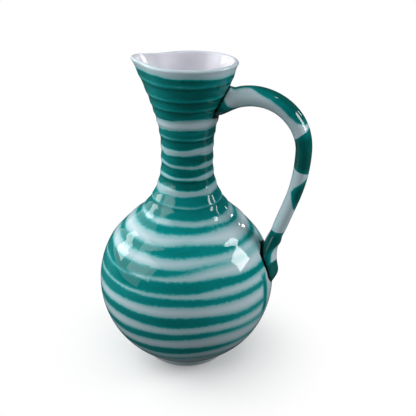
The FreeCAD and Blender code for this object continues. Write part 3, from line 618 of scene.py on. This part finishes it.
def band_finish():
    """White glaze with green bands.

    The depth of green rises softly over a band's edge, and fine upright threads move the edge up and down. A faint
    tint spreads on the white beside it. On a throwing ring's crest the glaze is thin, and in the groove it pools,
    and the green there is deepened further as painted shade.
    """
    finish = Finish("banded_glaze", GLAZE_ROUGHNESS)
    threads, clouds = finish.noise(*THREADS), finish.noise(*CLOUDS)
    grain = finish.noise(*GRAIN) - 0.5
    band = finish.attribute("band") + (threads - 0.5) * THREADS_AT_EDGE + (clouds - 0.5) * CLOUDS_AT_EDGE
    body = finish.step(*BODY_EDGE, band + grain * GRAIN_AT_EDGE)
    tint = finish.step(*TINT_EDGE, finish.attribute("near")) * TINT
    within = BODY + clouds * CLOUDS_IN_BODY + grain * GRAIN_IN_BODY
    # Crests lighten the green where the glaze is thin; grooves deepen it as pooled glaze and painted shade
    within = within - finish.attribute("ridge") * CREST_IN_BODY + finish.attribute("groove") * GROOVE_IN_BODY
    depth = body * finish.attribute("depth") * within
    depth = depth * (1 - finish.attribute("thin") * THIN_IN_BODY)
    colour = finish.ramp(GLAZE_DEPTH, depth.math("MAXIMUM", tint))
    # The inside in its paler white, which carries painted light
    colour = finish.mix(finish.attribute("inside"), colour, INSIDE_GLAZE_AND_LIGHT)
    # Painted shade, with pooled glaze, along the joints' outlines on the wall
    colour = finish.mix(finish.step(*WALL_CREASE, finish.attribute("crease")), colour, POOLED_GLAZE_AND_SHADE)
    bare = finish.step(*BARE_FOOT, finish.node("ShaderNodeSeparateXYZ", {}, {"Vector": finish.place()}, "Z"))
    finish.paint("Base Color", finish.mix(bare, colour, BISCUIT))
    finish.paint("Roughness", bare * BISCUIT_ROUGHNESS + clouds * CLOUD_ROUGHNESS + SMOOTHEST)
    finish.bump(finish.noise(*SWELL) + finish.noise(*FINE_SWELL) * FINE_SHARE, WALL_BUMP, BUMP_DISTANCE)
    return finish.material


def handle_finish():
    """White glaze with green patches, soft at their edges and deeper in the middle, and painted shade with pooled
    glaze where the handle meets the wall.
    """
    finish = Finish("handle_glaze", GLAZE_ROUGHNESS)
    clouds = finish.noise(*HANDLE_CLOUDS)
    patch = finish.attribute("patch") + (clouds - 0.5) * CLOUDS_AT_PATCH
    within = PATCH_BODY + clouds * CLOUDS_IN_PATCH + finish.step(*PATCH_MIDDLE, patch) * MIDDLE_IN_PATCH
    depth = finish.step(*PATCH_EDGE, patch) * within
    tint = finish.step(*PATCH_TINT_EDGE, patch) * PATCH_TINT
    colour = finish.ramp(GLAZE_DEPTH, depth.math("MAXIMUM", tint))
    # Painted shade, with pooled glaze, where the handle meets the wall
    crease = finish.step(*HANDLE_CREASE, finish.attribute("crease"))
    finish.paint("Base Color", finish.mix(crease, colour, POOLED_GLAZE_AND_SHADE))
    finish.paint("Roughness", clouds * CLOUD_ROUGHNESS + SMOOTHEST)
    finish.bump(finish.noise(*HANDLE_SWELL), HANDLE_BUMP, BUMP_DISTANCE)
    return finish.material


wall = make_wall()
wall.data.materials.append(band_finish())
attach(wall, "root")
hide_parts("foot_ring", "belly", "neck", "mouth")

handle = make_handle()
handle.data.materials.append(handle_finish())
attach(handle, "root")
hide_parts("handle", "upper_handle_joint", "lower_handle_joint")

# Floor: pale to the camera, grey for the light that it sends up, dark in the glaze; its shadow fades out between
# two distances from the axis
FLOOR_SIZE, SHADOW_REACH, SHADOW_END = 6.0, 0.01, 0.125
PALE, DIM, DARK = (0.95, 0.95, 0.95, 1), (0.16, 0.16, 0.16, 1), (0.03, 0.03, 0.03, 1)
FLOOR_ROUGHNESS, FLOOR_GLOSS = 0.6, 0.1
# Surroundings: their light, and the strength at which each kind of ray meets plain white instead
WHITE, ROOM, ROOM_LIGHT = (1, 1, 1, 1), (0.94, 0.97, 1.0, 1), 0.27
WHITE_SEEN = {"Is Glossy Ray": 0.03, "Is Transmission Ray": 1.0, "Is Camera Ray": 1.0}
# Softboxes: degrees round and up from the jug, distance, breadth, height, brightness, and whether the glaze
# mirrors it
SOFTBOXES = {
    "window_left": (171, 17, 1.2, 0.46, 0.36, 4.6, True),
    "window_front_left": (-146, 26, 1.2, 0.8, 0.72, 1.7, True),
    "curtain_left": (176, 24, 1.5, 3.0, 1.4, 0.85, True),
    "skylight_left": (165, 36, 1.7, 1.3, 1.3, 2.7, False),
    "window_right": (10, 22, 1.2, 0.5, 0.48, 9, True),
    "speck_high": (28, 61, 1.2, 0.08, 0.1, 12, True),
    "speck_low": (55, 14, 1.2, 0.08, 0.1, 12, True),
    "overhead": (-70, 60, 1.7, 1.3, 1.3, 0.9, False),
}
LIT_HEIGHT = 0.11
CAMERA_PLACE, CAMERA_AIM = Vector((0.0988, -0.4647, 0.3415)), Vector((0, 0, 0.1227))
LENS, SENSOR, SHIFT = 59.26, 36, 0.0522


def make_floor():
    """Plain pale floor with the jug's shadow, and plain white to the camera further off."""
    mesh = bpy.data.meshes.new("floor")
    half = FLOOR_SIZE / 2
    mesh.from_pydata([(-half, -half, 0), (half, -half, 0), (half, half, 0), (-half, half, 0)], [], [(0, 1, 2, 3)])
    floor = placed("floor", mesh)
    finish = Finish("pale_floor", FLOOR_ROUGHNESS)
    finish.shader.inputs["Specular IOR Level"].default_value = FLOOR_GLOSS
    seen = finish.node("ShaderNodeLightPath", {}, {}, "Is Camera Ray")
    mirrored = finish.node("ShaderNodeLightPath", {}, {}, "Is Glossy Ray")
    finish.paint("Base Color", finish.mix(seen, finish.mix(mirrored, DIM, DARK), PALE))
    away = finish.node("ShaderNodeVectorMath", {"operation": "LENGTH"}, {0: finish.place()}, "Value")
    far = finish.step(SHADOW_REACH, SHADOW_END, away) * seen
    white = finish.node("ShaderNodeEmission", {}, {"Color": WHITE, "Strength": 1.0})
    surface = Value(finish, finish.shader.outputs[0])
    mixed = finish.node("ShaderNodeMixShader", {}, {0: far, 1: surface, 2: white})
    finish.tree.links.new(mixed.socket, finish.tree.nodes["Material Output"].inputs["Surface"])
    floor.data.materials.append(finish.material)


def make_world():
    """Soft light all round: plain white to camera and transmission rays, and dim where the glaze mirrors it."""
    world = bpy.data.worlds.new("studio")
    bpy.context.scene.world = world
    world.use_nodes = True
    tree = world.node_tree
    path, lit = tree.nodes.new("ShaderNodeLightPath"), tree.nodes["Background"]
    lit.inputs["Color"].default_value, lit.inputs["Strength"].default_value = ROOM, ROOM_LIGHT
    shown = lit.outputs[0]
    for ray, strength in WHITE_SEEN.items():
        white, mix = tree.nodes.new("ShaderNodeBackground"), tree.nodes.new("ShaderNodeMixShader")
        white.inputs["Color"].default_value, white.inputs["Strength"].default_value = WHITE, strength
        tree.links.new(path.outputs[ray], mix.inputs["Fac"])
        tree.links.new(shown, mix.inputs[1])
        tree.links.new(white.outputs[0], mix.inputs[2])
        shown = mix.outputs[0]
    tree.links.new(shown, tree.nodes["World Output"].inputs["Surface"])


def make_softbox(name, azimuth, elevation, distance, breadth, height, bright, mirrored):
    """A rectangular lamp that faces the jug; its power is its brightness times its area and pi."""
    data = bpy.data.lights.new(name, "AREA")
    data.shape, data.size, data.size_y = "RECTANGLE", breadth, height
    data.energy = np.pi * breadth * height * bright
    lamp = placed(name, data)
    turn, rise = np.radians(azimuth), np.radians(elevation)
    way = Vector((np.cos(rise) * np.cos(turn), np.cos(rise) * np.sin(turn), np.sin(rise)))
    lamp.location = Vector((0, 0, LIT_HEIGHT)) + way * distance
    lamp.rotation_euler = way.to_track_quat("Z", "Y").to_euler()
    lamp.visible_glossy = mirrored


def make_camera():
    """The photograph's view: from the front, a little above, with the jug left of the frame's middle."""
    data = bpy.data.cameras.new("camera")
    data.lens, data.sensor_width, data.shift_x = LENS, SENSOR, SHIFT
    camera = placed("camera", data)
    camera.location = CAMERA_PLACE
    camera.rotation_euler = (CAMERA_AIM - CAMERA_PLACE).to_track_quat("-Z", "Y").to_euler()
    bpy.context.scene.camera = camera


make_floor()
make_world()
for box_name, box in SOFTBOXES.items():
    make_softbox(box_name, *box)
make_camera()
bpy.context.scene.view_settings.view_transform = "Standard"
